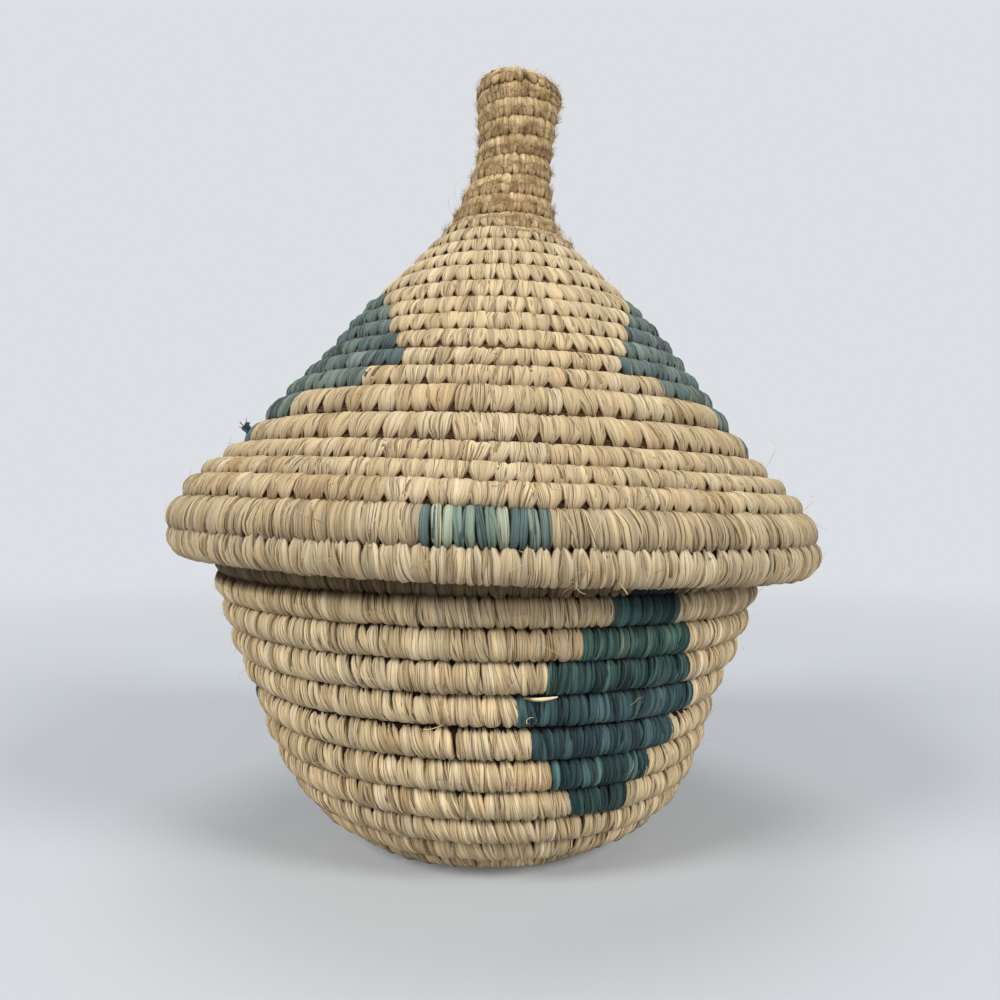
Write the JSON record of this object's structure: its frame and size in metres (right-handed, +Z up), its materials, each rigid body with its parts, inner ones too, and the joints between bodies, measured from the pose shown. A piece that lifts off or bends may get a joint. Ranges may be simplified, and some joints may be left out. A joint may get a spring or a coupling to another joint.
{
  "type": "lidded basket",
  "caption": "Round coiled basket with a conical lid, tall wound knob and stepped dyed lozenges.",
  "frame": {"origin": "middle of the underside of the bowl's floor, on the surface that the basket stands on", "axes": "+Z up through the knob, -Y towards the front, +X to the right of the front view"},
  "size_m": [0.1914, 0.1919, 0.2317],
  "materials": {
    "raffia_bowl": "matt dry leaf",
    "raffia_lid": "matt dry leaf",
    "raffia_knob": "matt dry leaf",
    "dyed_raffia_bowl": "matt dyed leaf",
    "dyed_raffia_lid": "matt dyed leaf"
  },
  "bodies": {
    "bowl": {"bowl_start_knot": "raffia_bowl", "bowl_floor_coil": "raffia_bowl", "bowl_wall_coil": "raffia_bowl", "bowl_rim_coil": "raffia_bowl", "bowl_coil_tail": "raffia_bowl", "bowl_dyed_block_1": "dyed_raffia_bowl", "bowl_dyed_block_2": "dyed_raffia_bowl", "bowl_dyed_block_3": "dyed_raffia_bowl"},
    "lid": {"lid_start_knot": "raffia_knob", "lid_knob_coil": "raffia_knob", "lid_neck_coil": "raffia_lid", "lid_cone_coil": "raffia_lid", "lid_rim_coil": "raffia_lid", "lid_coil_tail": "raffia_lid", "lid_dyed_block_1": "dyed_raffia_lid", "lid_dyed_block_2": "dyed_raffia_lid", "lid_dyed_block_3": "dyed_raffia_lid", "lid_rim_dash_1": "dyed_raffia_lid", "lid_rim_dash_2": "dyed_raffia_lid", "lid_rim_dash_3": "dyed_raffia_lid", "lid_locating_ring": "raffia_lid"}
  },
  "joints": [
    {"name": "lid_lift", "type": "slide", "parent": "bowl", "child": "lid", "axis": [0, 0, 1], "range_m": [0, 0.16]}
  ]
}
